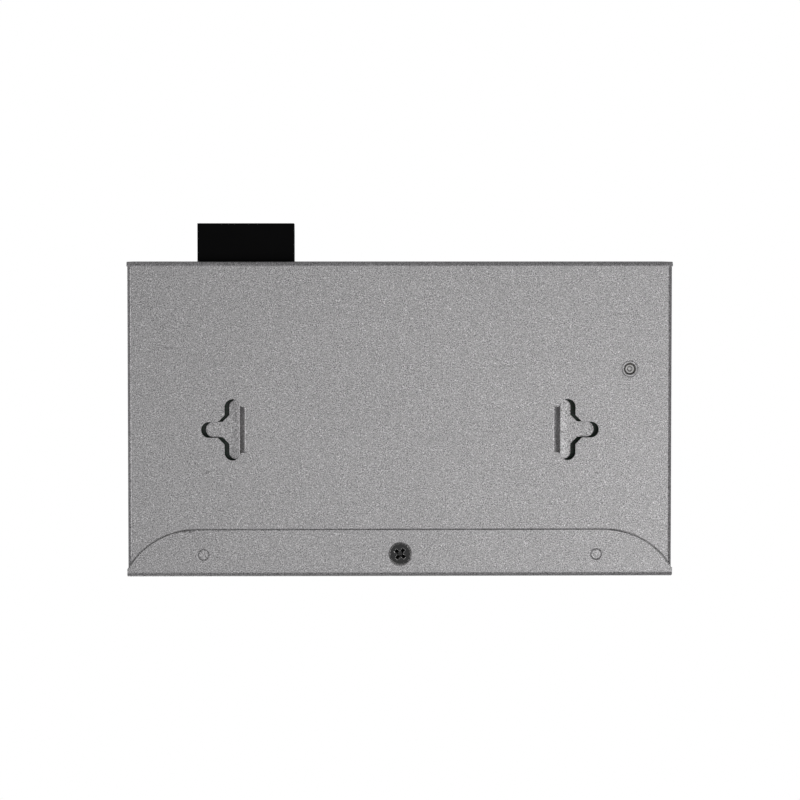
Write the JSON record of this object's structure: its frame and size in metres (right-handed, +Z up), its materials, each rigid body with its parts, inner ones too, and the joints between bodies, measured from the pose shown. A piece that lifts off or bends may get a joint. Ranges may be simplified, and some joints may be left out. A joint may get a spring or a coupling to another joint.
{
  "type": "ethernet switch",
  "caption": "Compact Ethernet switch in a folded steel case, with network jacks in front, a pluggable power terminal at the rear and keyholes underneath.",
  "frame": {"origin": "centre of the case's underside", "axes": "+Z up, -Y out of the front panel with the network jacks, +Y out of the rear wall with the power terminal, +X to the right seen from the front"},
  "size_m": [0.143, 0.0927, 0.027],
  "materials": {
    "case_coat": "satin metallic powder coat",
    "black_screw": "black oxide",
    "zinc_steel": "zinc plated",
    "standoff_zinc": "zinc plated, coated flush end",
    "bright_screw": "nickel plated",
    "board_green": "green solder mask",
    "jack_plastic": "moulded black",
    "shield_nickel": "nickel plated, stamped",
    "contact_gold": "gold flashed",
    "clear_plastic": "clear moulded",
    "led_white": "chip LED body",
    "led_lens": "tinted lens",
    "holder_plastic": "moulded black",
    "header_plastic": "moulded black",
    "tinned_pin": "tin plated",
    "plug_plastic": "moulded black",
    "clamp_nickel": "nickel plated",
    "clamp_screw": "zinc plated, slotted",
    "chip_black": "moulded black",
    "pad_grey": "soft grey pad",
    "heat_sink_black": "black anodised",
    "ferrite": "moulded ferrite",
    "capacitor_sleeve": "printed sleeve and bare can top",
    "fuse_ceramic": "ceramic",
    "arrester_black": "moulded black"
  },
  "bodies": {
    "root": {"base_tray": "case_coat", "top_cover": "case_coat", "cover_screw": "black_screw", "nut_plate": "zinc_steel", "circuit_board": "board_green", "through_standoff": "standoff_zinc", "blind_standoffs": "zinc_steel", "earth_screw": "bright_screw", "board_screws": "bright_screw", "jack_housing_left": "jack_plastic", "jack_housing_right": "jack_plastic", "jack_shield_left": "shield_nickel", "jack_shield_right": "shield_nickel", "jack_contacts_left": "contact_gold", "jack_contacts_right": "contact_gold", "light_pipe_left": "clear_plastic", "light_pipe_right": "clear_plastic", "status_leds": "led_white", "power_led": "led_lens", "led_holder": "holder_plastic", "terminal_header": "header_plastic", "header_pins": "tinned_pin", "terminal_plug": "plug_plastic", "plug_clamps": "clamp_nickel", "plug_screws": "clamp_screw", "plug_contacts": "tinned_pin", "switch_chip": "chip_black", "thermal_pad": "pad_grey", "heat_sink": "heat_sink_black", "lan_transformers": "chip_black", "power_inductors": "ferrite", "bulk_capacitors": "capacitor_sleeve", "crystal_can": "bright_screw", "regulator_chips": "chip_black", "memory_chip": "chip_black", "input_fuse": "fuse_ceramic", "surge_arresters": "arrester_black", "chip_capacitors": "fuse_ceramic"}
  },
  "joints": []
}
